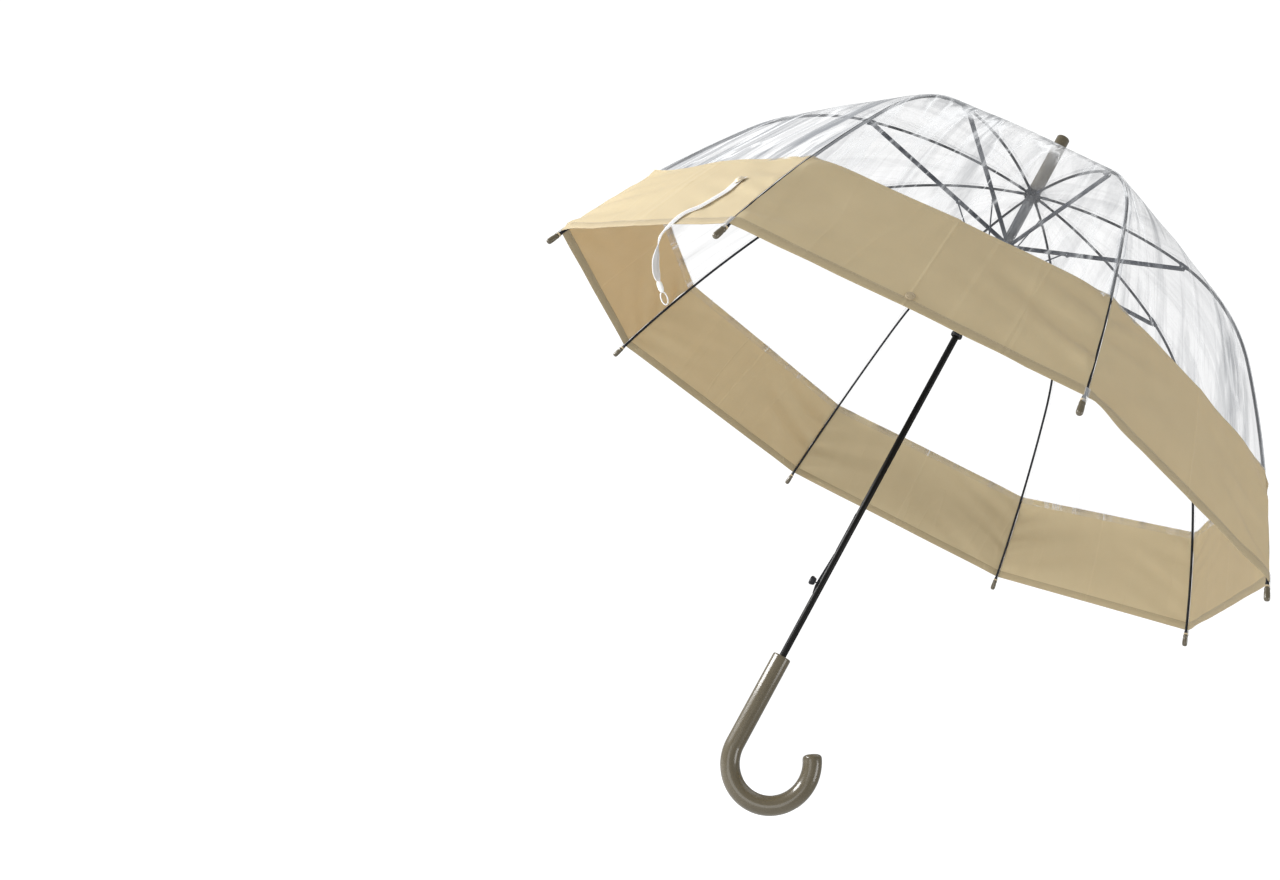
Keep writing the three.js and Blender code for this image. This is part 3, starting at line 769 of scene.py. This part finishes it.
def film_finish(name, clear, painted_reflection_share, cloudiness, streak, shade, crown_share=0.0):
    """Clear vinyl: nearly nothing where it is faced and grey along haze. The grey on its rims, where it is
    seen edge-on, is painted reflection, and the white along its creases is a painted highlight.
    """
    made, tree, shader = finish(name, {"Roughness": 0.12, "IOR": 1.5, "Specular IOR Level": 0.7})
    cut = node(tree, "Attribute", attribute_name="cut").outputs["Vector"]
    marks = used(tree, creased, {"Vector": cut, "Line Size": 0.05, "Line Width": 0.03, "Fold Width": 0.0011})
    slant = node(tree, "LayerWeight", {"Blend": 0.5}).outputs["Facing"]
    inside = node(tree, "NewGeometry").outputs["Backfacing"]
    outside = minus(tree, 1.0, times(tree, inside, 0.62))
    # Painted reflection: grey opacity that grows where the sheet is seen edge-on, standing in for the room
    # mirrored in it.
    rim = times(tree, math_of(tree, "POWER", slant, 1.7), painted_reflection_share)
    shown_haze = times(tree, plus(tree, times(tree, slant, 1.3), 0.12), cloudiness)
    cloud = times(tree, marks["Haze"], shown_haze)
    down = node(tree, "SeparateXYZ", {0: cut}).outputs[1]
    crown = node(tree, "MapRange", {"Value": down, "From Min": 0.005, "From Max": 0.10, "To Min": crown_share,
                                    "To Max": 0.0}, interpolation_type="SMOOTHSTEP").outputs[0]
    veil = plus(tree, plus(tree, cloud, crown), plus(tree, rim, clear))
    # Painted highlight: the creases and the middle fold are drawn white, more strongly where the sheet is
    # seen edge-on.
    painted_crease_lines = times(tree, marks["Lines"], plus(tree, slant, 0.15))
    crease_highlight_mask = math_of(tree, "MAXIMUM", painted_crease_lines, times(tree, marks["Fold"], 0.8))
    shown = math_of(tree, "MAXIMUM", veil, times(tree, crease_highlight_mask, streak))
    tree.links.new(times(tree, shown, outside, clamp=True), shader.inputs["Alpha"])
    grey = blend_of(tree, marks["Haze"], (shade, shade * 1.02, shade * 1.06, 1),
                    (shade * 0.6, shade * 0.63, shade * 0.68, 1))
    painted_crease_highlight = times(tree, crease_highlight_mask, 1.4, clamp=True)
    tree.links.new(blend_of(tree, painted_crease_highlight, grey, (0.95, 0.96, 0.97, 1)), shader.inputs["Base Color"])
    bump = node(tree, "Bump", {"Height": marks["Height"], "Strength": 0.45, "Distance": 0.001})
    tree.links.new(bump.outputs[0], shader.inputs["Normal"])
    return made


def facing_out(made):
    """Turns an open sheet's faces away from the shaft."""
    face = made.data.polygons[len(made.data.polygons) // 2]
    if face.normal.dot(Vector((face.center.x, face.center.y, 0.15))) < 0:
        made.data.flip_normals()


film = film_finish("clear_vinyl", clear=0.025, painted_reflection_share=0.42, cloudiness=0.70, streak=0.85, shade=0.36,
                   crown_share=0.34)


def film_part(k, start, stop, steps, shares):
    rows, places = [], []
    for i in range(steps + 1):
        along = start + (stop - start) * i / steps
        rows.append([panel_point(k, along, s, panel_lift(k, along, s)) for s in shares])
        places += [cut_place(k, along, s) for s in shares]
    return quilted(rows), places


def flat_cut(start, stop, steps=40):
    """Width, length and area of a panel's flat cut between two stations, in metres."""
    stations = [start + (stop - start) * i / steps for i in range(steps + 1)]
    middles = [panel_point(0, s, 0, SKIN_LIFT) for s in stations]
    runs = [(b - a).length / 1000 for a, b in zip(middles, middles[1:])]
    widths_there = [2 * half_width(s) / 1000 for s in stations]
    area = sum(run * (a + b) / 2 for run, a, b in zip(runs, widths_there, widths_there[1:]))
    return (max(widths_there), sum(runs)), area


film_shares = spread(48)
for k in range(1, RIBS + 1):
    for name, start, stop, steps, body in (("film_upper", FILM_FROM, RIB_FLEX, 40, "film_body"),
                                           ("film_lower", RIB_FLEX, SEAM_AT, 32, "band_body")):
        part, places = film_part(k, start, stop, steps, film_shares)
        made = piece(f"{name}_{k}", part, film, f"{body}_{k}",
                     [f"film_panel_{k}"] if name == "film_upper" else (), crisp=80)
        facing_out(made)
        lay_out(made, places)
        folds_with(made)
        size, area = flat_cut(start, stop)


# ---- Rib seams ----------------------------------------------------------------------------------------
# Along each rib the edges of two panels are welded together. On both sides of the rib the weld shows as a
# narrow, slightly raised band of milky vinyl.

seam_film = film_finish("welded_vinyl", clear=0.16, painted_reflection_share=0.40, cloudiness=0.45, streak=0.85, shade=0.62)
SEAM = {"from": 1.9, "to": 5.2, "lift": 0.3}


def seam_part(k, start, stop, steps):
    """Thin strips near both edges of panel k, just over its skin."""
    strips, places = [], []
    for side in (-1, 1):
        rows = []
        for i in range(steps + 1):
            along = start + (stop - start) * i / steps
            wander = 0.8 * noise.noise(Vector((along / 25, k, side)))
            near, far = (1 - edge / half_width(along) for edge in (SEAM["from"], SEAM["to"] + wander))
            lift = SEAM["lift"]
            row = [(far, 0.05), (far, lift), ((near + far) / 2, lift + 0.1), (near, lift)]
            row = [(side * s, up) for s, up in row]
            rows.append([panel_point(k, along, s, panel_lift(k, along, s) + up) for s, up in row])
            places += [cut_place(k, along, s) for s, up in row]
        strips.append(quilted(rows))
    return together(*strips), places


for k in range(1, RIBS + 1):
    for name, start, stop, steps, body in (("seam_upper", FILM_FROM + 26, RIB_FLEX, 40, "film_body"),
                                           ("seam_lower", RIB_FLEX, SEAM_AT - 3, 36, "band_body")):
        part, places = seam_part(k, start, stop, steps)
        made = piece(f"{name}_{k}", part, seam_film, f"{body}_{k}", crisp=80)
        lay_out(made, places)
        folds_with(made)


# ---- Crown patch --------------------------------------------------------------------------------------
# A round of thicker film with a pinked rim, welded over the panels' points and round the ferrule.

patch_film = film_finish("patch_vinyl", clear=0.22, painted_reflection_share=0.35, cloudiness=0.5, streak=0.8, shade=0.45)
patch_low = span("crown_patch")[0]
PATCH_TEETH, PATCH_RADIUS = 40, 20
PATCH_HOLE = 0.43   # as a share of the radius
rows = []
for share, up in ((PATCH_HOLE, 0.5), (0.5, 0.75), (0.7, 0.7), (0.88, 0.45), (1.0, 0.1)):
    ring = []
    for i in range(2 * PATCH_TEETH + 1):
        a = math.tau * i / (2 * PATCH_TEETH)
        r = PATCH_RADIUS * share * (1 - (0.035 * (i % 2) if share == 1.0 else 0))
        ring.append(Vector((r * math.cos(a), r * math.sin(a), patch_low + up)))
    rows.append(ring)
patch = piece("crown_round", quilted(rows), patch_film, "frame", ["crown_patch"], crisp=80)
lay_out(patch, [(p.x / 1000, 0.05 + p.y / 1000, 9) for row in rows for p in row])


# ---- Border -------------------------------------------------------------------------------------------
# Khaki-beige woven cloth with a soft sheen, one flat panel from rib to rib, lapped and welded to the film
# above and bound along the hem with a tape of a deeper tone. The middle fold of the film runs on down it.

# Plain weave: threads that pass over and under one another, slubs in them, and broad uneven dyeing.
woven, given, result = effect("Plain Weave", {"Vector": "Vector", "Thread": "Float", "Dye Patch": "Float"},
                              {"Height": "Float", "Slub": "Float", "Dye": "Float"})
axes = node(woven, "SeparateXYZ", {0: given["Vector"]}).outputs
turns = [times(woven, math_of(woven, "DIVIDE", axes[i], given["Thread"]), math.pi) for i in (0, 1)]
over = times(woven, *(math_of(woven, "SINE", turn) for turn in turns))
slubs = []
for stretched in ((900, 25, 1), (25, 900, 1)):
    drawn_out = node(woven, "Mapping", {"Vector": given["Vector"], "Scale": stretched}).outputs[0]
    slubs.append(node(woven, "TexNoise", {"Vector": drawn_out, "Scale": 1.0, "Detail": 1.0}).outputs[0])
slub = times(woven, plus(woven, *slubs), 0.5)
dye = node(woven, "TexNoise", {"Vector": given["Vector"], "Detail": 3.0, "Roughness": 0.55,
                               "Scale": math_of(woven, "DIVIDE", 1.0, given["Dye Patch"])})
woven.links.new(plus(woven, math_of(woven, "ABSOLUTE", over), slub), result["Height"])
woven.links.new(slub, result["Slub"])
woven.links.new(dye.outputs[0], result["Dye"])


def cloth_finish(name, light, dark, shine_through, glow):
    """Woven cloth that lets some light through in a warmer tone, with creases from packing. It is drawn paler
    along its middle fold and creases as a painted highlight.
    """
    made, tree, shader = finish(name, {"Specular IOR Level": 0.25, "Sheen Weight": 0.2,
                                       "Sheen Roughness": 0.4, "Sheen Tint": (1.0, 0.97, 0.9, 1)})
    cut = node(tree, "Attribute", attribute_name="cut").outputs["Vector"]
    weave = used(tree, woven, {"Vector": cut, "Thread": 0.00042, "Dye Patch": 0.035})
    marks = used(tree, creased, {"Vector": cut, "Line Size": 0.13, "Line Width": 0.014, "Fold Width": 0.0022})
    tone = plus(tree, times(tree, weave["Dye"], 0.7), times(tree, weave["Slub"], 0.3))
    # Painted highlight: the cloth is made paler along its middle fold and its creases.
    painted_fold_highlight = times(tree, math_of(tree, "MAXIMUM", marks["Fold"], times(tree, marks["Lines"], 0.3)), 0.16)
    fold_highlight_tone = tuple(min(1, c * 1.3) for c in light)
    tree.links.new(blend_of(tree, painted_fold_highlight, blend_of(tree, tone, dark, light), fold_highlight_tone), shader.inputs["Base Color"])
    rough = node(tree, "MapRange", {"Value": weave["Slub"], "To Min": 0.62, "To Max": 0.86}).outputs[0]
    tree.links.new(rough, shader.inputs["Roughness"])
    threads = node(tree, "Bump", {"Height": weave["Height"], "Strength": 0.18, "Distance": 0.00012})
    bump = node(tree, "Bump", {"Height": marks["Height"], "Strength": 0.5, "Distance": 0.0007,
                               "Normal": threads.outputs[0]})
    tree.links.new(bump.outputs[0], shader.inputs["Normal"])
    through = node(tree, "BsdfTranslucent", {"Color": glow})
    both = node(tree, "MixShader", {0: shine_through, 1: shader.outputs[0], 2: through.outputs[0]})
    tree.links.new(both.outputs[0], tree.nodes["Material Output"].inputs["Surface"])
    return made


cloth = cloth_finish("khaki_beige_cloth", (0.56, 0.492, 0.322, 1), (0.475, 0.413, 0.267, 1),
                     shine_through=0.29, glow=(0.80, 0.54, 0.13, 1))
tape = cloth_finish("hem_tape", (0.43, 0.350, 0.215, 1), (0.36, 0.290, 0.172, 1),
                    shine_through=0.12, glow=(0.6, 0.4, 0.16, 1))
thread, thread_tree, thread_shader = finish("sewing_thread", {"Roughness": 0.6, "Sheen Weight": 0.3})
twist = node(thread_tree, "TexWave", {"Scale": 900.0, "Distortion": 1.0,
                                      "Vector": node(thread_tree, "TexCoord").outputs["Object"]})
twisted = blend_of(thread_tree, twist.outputs["Fac"], (0.40, 0.31, 0.18, 1), (0.60, 0.49, 0.32, 1))
thread_tree.links.new(twisted, thread_shader.inputs["Base Color"])

CLOTH_THICK = 0.5
LAP = 4            # of cloth over film, above the seam
BORDER_GAP = 1.5   # from the edge of the cloth to the rib's plane
TAPE_WIDTH = 9


def border_share(along, share):
    """A share of the cloth's own width, which stops short of the ribs."""
    return share * (1 - BORDER_GAP / half_width(along))


def border_point(k, along, share, lift=0.0):
    s = border_share(along, share)
    return panel_point(k, along, s, panel_lift(k, along, s, cloth=True) + lift)


def border_part(k, shares, steps):
    """The cloth as a thin closed body, from the weld down to the hem."""
    loops, places = [], []
    top = SEAM_AT - LAP
    stations = [top + (HEM_AT - top) * i / steps for i in range(steps + 1)]
    for share in shares:
        outside = [border_point(k, along, share, -0.1) for along in stations]
        inside = [border_point(k, along, share, -0.1 - CLOTH_THICK) for along in stations]
        loops.append(outside + inside[::-1] + outside[:1])
        there_and_back = stations + stations[::-1] + stations[:1]
        places += [cut_place(k, along, border_share(along, share)) for along in there_and_back]
    part = quilted(loops)
    count = len(loops[0])
    caps = []
    for first in (0, (len(shares) - 1) * count):
        for i in range(steps):
            caps.append([first + i, first + i + 1, first + count - 3 - i, first + count - 2 - i])
    return (part[0], part[1] + caps), places


def across_part(k, profile, shares, bottom):
    """A closed profile of (distance down, lift) carried across the border from edge to edge."""
    loops, places = [], []
    closed = profile + profile[:1]
    for share in shares:
        loops.append([border_point(k, bottom + down, share, lift) for down, lift in closed])
        places += [cut_place(k, bottom + down, border_share(bottom, share)) for down, lift in closed]
    corners, faces = quilted(loops)
    count = len(profile) + 1
    ends = [list(range(count - 1)), [len(corners) - count + i for i in range(count - 1)]]
    return (corners, faces + ends), places


def welded(part, places):
    """The part with corners that lie together made one."""
    found, order, kept, kept_places = {}, [], [], []
    for corner, place in zip(part[0], places):
        key = tuple(round(c, 4) for c in corner)
        if key not in found:
            found[key] = len(kept)
            kept.append(corner)
            kept_places.append(place)
        order.append(found[key])
    faces = [list(dict.fromkeys(order[i] for i in face)) for face in part[1]]
    return (kept, [face for face in faces if len(face) > 2]), kept_places


border_shares = spread(84, 0.3)
tape_top = -TAPE_WIDTH
tape_profile = [(tape_top, -0.05), (tape_top + 0.3, 0.32), (-0.4, 0.34), (0.5, 0.1), (0.7, -0.35),
                (0.5, -0.8), (-0.4, -1.04), (tape_top + 0.3, -1.02), (tape_top, -0.65),
                (tape_top + 0.2, -0.62), (-0.3, -0.62), (-0.3, -0.08), (tape_top + 0.2, -0.08)]
lap_profile = [(-5.5, -0.64), (-5.5, -0.78), (5, -0.78), (5, -0.64)]
STITCH = {"pitch": 3.2, "length": 2.3, "thread": 0.17, "arch": 0.18}


def stitch_part(k, along, lift):
    """A row of machine stitches across the border, each a thread that dips at both ends."""
    width = 2 * half_width(along) - 2 * BORDER_GAP
    count = int(width / STITCH["pitch"])
    reach = STITCH["length"] / width
    row = []
    for i in range(count):
        middle = -1 + (2 * i + 1) / count
        path = [border_point(k, along, middle + reach * t, lift + STITCH["arch"] * (1 - t * t))
                for t in (-1, -0.5, 0, 0.5, 1)]
        row.append(swept(path, ring_section(STITCH["thread"], 5), scales=(0.4, 0.9, 1, 0.9, 0.4)))
    return together(*row)


def sheet_piece(name, k, part_and_places, material, stands_for=()):
    """A piece of the border on panel k, with its places on the flat cut."""
    part, places = welded(*part_and_places)
    made = piece(f"{name}_{k}", part, material, f"band_body_{k}", stands_for, crisp=60)
    lay_out(made, places)
    return made


weld_film = film_finish("lap_weld_vinyl", clear=0.05, painted_reflection_share=0.08, cloudiness=0.25, streak=0.8, shade=0.7)
stitch_rows = ((HEM_AT - TAPE_WIDTH + 1.2, 0.3), (HEM_AT - TAPE_WIDTH + 1.2, -1.15), (SEAM_AT + 1, -0.12))
border_size, border_area = flat_cut(SEAM_AT - LAP, HEM_AT)
for k in range(1, RIBS + 1):
    border = sheet_piece("border", k, border_part(k, border_shares, 34), cloth,
                         [f"band_panel_{k}"])
    hem_part = across_part(k, tape_profile, border_shares, HEM_AT)
    hem = sheet_piece("hem_tape", k, hem_part, tape)
    stitches = together(*(stitch_part(k, along, lift) for along, lift in stitch_rows))
    row = piece(f"border_stitches_{k}", stitches, thread, f"band_body_{k}", crisp=60)
    lap_part = across_part(k, lap_profile, border_shares, SEAM_AT)
    lap = sheet_piece("lap_weld", k, lap_part, weld_film)
    for made in (border, hem, row, lap):
        folds_with(made)


# ---- Tip ties -----------------------------------------------------------------------------------------
# At each rib the corner of the border is held to the tip cap by a small clear tab and a few turns of thread.

cap_start = RIB_LENGTH - TIP_CAP_LENGTH
hem_from_end = HEM_AT - RIB_LENGTH
tab = block((hem_from_end + 10.5, -2.6, 2.0), (hem_from_end + 26, 2.6, 2.4), 0.15)
tab = along_rib(moved(tab, Matrix.Translation((-3.5, 0, 0.7))), cap_start)
wrap = along_rib(together(*(moved(hoop(2.35, 0.32, -2.0 + 0.62 * i), lying) for i in range(3))), cap_start)
for k in range(1, RIBS + 1):
    made = piece(f"tip_tab_{k}", moved(tab, at_rib(k)), seam_film, f"rib_outer_body_{k}")
    lay_out(made, [(v.co.x, v.co.z, k) for v in made.data.vertices])
    piece(f"tip_thread_{k}", moved(wrap, at_rib(k)), thread, f"rib_outer_body_{k}", crisp=60)


# ---- Tie strap ----------------------------------------------------------------------------------------
# A ribbon of milky vinyl held by a press fastener on one panel of the border, from where it hangs free
# past the hem. Its end goes through a white bead to a small moulded loop.

STRAP_PANEL = 5
ON_BORDER = ((551, 101), (558, 101), (574, 100), (588, 97), (601, 88), (613, 79), (624, 76))
HANGING = ((422.5, 78, 326), (424, 80, 317), (421, 83, 305), (416, 83, 294), (409, 85, 284), (404, 87, 279))
STRAP_WIDTH, STRAP_THICK = 11.5, 0.5
ROUTE_STEPS = 6    # between two of the points above
LEAVES_AT, HANGS_AT = 34, 60   # steps along the strap where it begins and ends its turn off the border


def smooth_route(points, steps):
    """A Catmull-Rom curve through the points given."""
    points = [Vector(p) for p in points]
    padded = [2 * points[0] - points[1], *points, 2 * points[-1] - points[-2]]
    route = []
    for a, b, c, d in zip(padded, padded[1:], padded[2:], padded[3:]):
        for i in range(steps):
            t = i / steps
            route.append(0.5 * (2 * b + (c - a) * t + (2 * a - 5 * b + 4 * c - d) * t * t +
                                (3 * b - a - 3 * c + d) * t ** 3))
    return route + [points[-1]]


milky, milky_tree, milky_shader = finish("milky_vinyl", {"Roughness": 0.22, "Specular IOR Level": 0.6,
                                                        "Coat Weight": 0.3})
lengthwise = node(milky_tree, "Attribute", attribute_name="cut").outputs["Vector"]
marks = used(milky_tree, creased, {"Vector": lengthwise, "Line Size": 0.02, "Line Width": 0.05,
                                   "Fold Width": 0.0001})
off_middle = math_of(milky_tree, "ABSOLUTE", node(milky_tree, "SeparateXYZ", {0: lengthwise}).outputs[0])
rim = node(milky_tree, "MapRange", {"Value": off_middle, "From Min": 0.0044, "From Max": 0.0052}).outputs[0]
body_tone = blend_of(milky_tree, marks["Haze"], (0.66, 0.67, 0.69, 1), (0.80, 0.81, 0.82, 1))
milky_tree.links.new(blend_of(milky_tree, rim, body_tone, (0.95, 0.95, 0.95, 1)),
                     milky_shader.inputs["Base Color"])
body_alpha = plus(milky_tree, times(milky_tree, marks["Haze"], 0.2), 0.55)
milky_alpha = math_of(milky_tree, "MAXIMUM", body_alpha, rim, clamp=True)
milky_tree.links.new(milky_alpha, milky_shader.inputs["Alpha"])
white_plastic = hard_finish("white_moulding", (0.88, 0.88, 0.86, 1), (0.80, 0.80, 0.78, 1),
                            gloss=0.28, cloud_size=0.004, grain_size=0.0006, wipe=0.15, pitting=0.2,
                            plain={"Subsurface Weight": 0.1})

to_strap_panel = Matrix.Rotation(STRAP_PANEL * STEP, 4, "Z")
lying_on = [to_strap_panel.inverted() @ border_point(STRAP_PANEL, along, side / half_width(along), 1.5)
            for along, side in ON_BORDER]
strap_line = smooth_route([*lying_on, *HANGING], ROUTE_STEPS)
off_border = Vector((math.cos(math.radians(22)), 0, math.sin(math.radians(22))))
section = [(-1, 0.12), (-0.9, 0.02), (0, -0.1), (0.9, 0.02), (1, 0.12)]
rows, places, run = [], [], 0
for i, p in enumerate(strap_line):
    ahead = (strap_line[min(i + 1, len(strap_line) - 1)] - strap_line[max(i - 1, 0)]).normalized()
    run += (p - strap_line[i - 1]).length if i else 0
    hang = min(1, max(0, (i - LEAVES_AT) / (HANGS_AT - LEAVES_AT)))
    faces_to = off_border.lerp(Vector((0.55, -0.62, 0.3)), hang)
    out = (faces_to - ahead * faces_to.dot(ahead)).normalized()
    side = ahead.cross(out)
    taper = min(1, 0.25 + (len(strap_line) - 1 - i) / 9)
    reach = side * STRAP_WIDTH / 2 * taper
    top = [p + reach * x + out * (up + STRAP_THICK / 2) for x, up in section]
    under = [p + reach * x + out * (up - STRAP_THICK / 2) for x, up in reversed(section)]
    rows.append(top + under + top[:1])
    there_and_back = [x for x, up in section + section[::-1] + section[:1]]
    places += [(STRAP_WIDTH / 2000 * x, run / 1000, 11) for x in there_and_back]
ribbon, places = welded(quilted(rows), places)
corner_count = len(rows[0]) - 1
ribbon[1].append(list(range(corner_count)))
ribbon[1].append([len(ribbon[0]) - corner_count + i for i in range(corner_count)])
strap_end, onward = strap_line[-1], (strap_line[-1] - strap_line[-3]).normalized()
outward_turn = Matrix.Translation(strap_end) @ onward.to_track_quat("Z", "X").to_matrix().to_4x4()
bead_outline = [(0, -1.5), (1.6, -1.5), (2.4, 0), (2.7, 2), (2.6, 6), (2.0, 8.6), (1.1, 9.6), (0, 9.6)]
bead = moved(turned(eased(bead_outline, 0.5), 24), outward_turn)
loop_route = [outward_turn @ Vector((3.0 * math.sin(a), 0, 9.2 + 6.2 * (1 - math.cos(a))))
              for a in (math.tau * i / 36 for i in range(37))]
loop = swept(loop_route, ring_section(0.62, 8), side=to_strap_panel.inverted() @ Vector((0, 0, 1)))
strap_body = f"band_body_{STRAP_PANEL}"
strap = piece("strap_ribbon", moved(ribbon, to_strap_panel), milky, strap_body, ["tie_strap"],
              crisp=70)
lay_out(strap, places)
strap_bead = piece("strap_bead", moved(bead, to_strap_panel), white_plastic, strap_body)
strap_loop = piece("strap_loop", moved(loop, to_strap_panel), white_plastic, strap_body,
                   crisp=60)
for made in (strap, strap_bead, strap_loop):
    folds_with(made)


# ---- Press fasteners ----------------------------------------------------------------------------------
# The strap's snap is a domed olive-beige cap pressed through strap and cloth, and its stud stands low in
# the middle of the next panel, where the strap fastens when it goes round the folded umbrella.

beige_plastic = hard_finish("beige_moulding", (0.62, 0.54, 0.40, 1), (0.54, 0.46, 0.33, 1),
                            gloss=0.25, cloud_size=0.004, grain_size=0.0006, wipe=0.15, pitting=0.2,
                            plain={"Specular IOR Level": 0.5})
stud_plastic = hard_finish("khaki_moulding", (0.37, 0.30, 0.195, 1), (0.32, 0.255, 0.16, 1),
                           gloss=0.4, cloud_size=0.004, grain_size=0.0006, wipe=0.15, pitting=0.1,
                           plain={"Specular IOR Level": 0.3})


def on_border(part, k, along, side, lift):
    """A part that stands on the border of panel k, side millimetres from its middle."""
    share = side / half_width(along)
    centre = panel_point(k, along, share, panel_lift(k, along, share, cloth=True) + lift)
    down = (panel_point(k, along + 1, share, 0) - panel_point(k, along - 1, share, 0)).normalized()
    over = Matrix.Rotation(k * STEP, 3, "Z") @ Vector((0, 1, 0))
    out = down.cross(over)
    turn = Matrix((over, out.cross(over) * -1, out * -1)).transposed()
    outward = Matrix.Rotation(k * STEP, 3, "Z") @ Vector((1, 0, 0))
    if (turn @ Vector((0, 0, 1))).dot(outward) < 0:
        turn = turn @ Matrix.Rotation(math.pi, 3, "X")
    return moved(part, Matrix.Translation(centre) @ turn.to_4x4())


snap_outline = [(0, -0.4), (4.6, -0.4), (5.5, 0), (5.5, 0.6), (4.9, 1.1), (4.5, 1.0), (4.2, 1.3), (3.4, 2.2),
                (2, 2.8), (0, 3.0)]
snap = on_border(turned(eased(snap_outline, 0.2), 36), STRAP_PANEL, *ON_BORDER[1], 2.0)
stud_outline = [(0, -0.3), (4.2, -0.3), (4.5, 0.1), (4.3, 0.6), (3.2, 0.9), (2.6, 0.6), (2.3, 1.0), (0, 1.3)]
STUD_AT, STUD_ASIDE = 617, 0.8
stud = on_border(turned(eased(stud_outline, 0.2), 36), STRAP_PANEL + 1, STUD_AT, STUD_ASIDE, 0.3)
for name, part, material, k, node_name, slot_name in (
        ("snap_cap", snap, beige_plastic, STRAP_PANEL, "strap_snap", "olive_gloss"),
        ("stud_cap", stud, stud_plastic, STRAP_PANEL + 1, "press_stud", "pale_plastic")):
    made = piece(name, part, material, f"band_body_{k}", [node_name])
    folds_with(made)
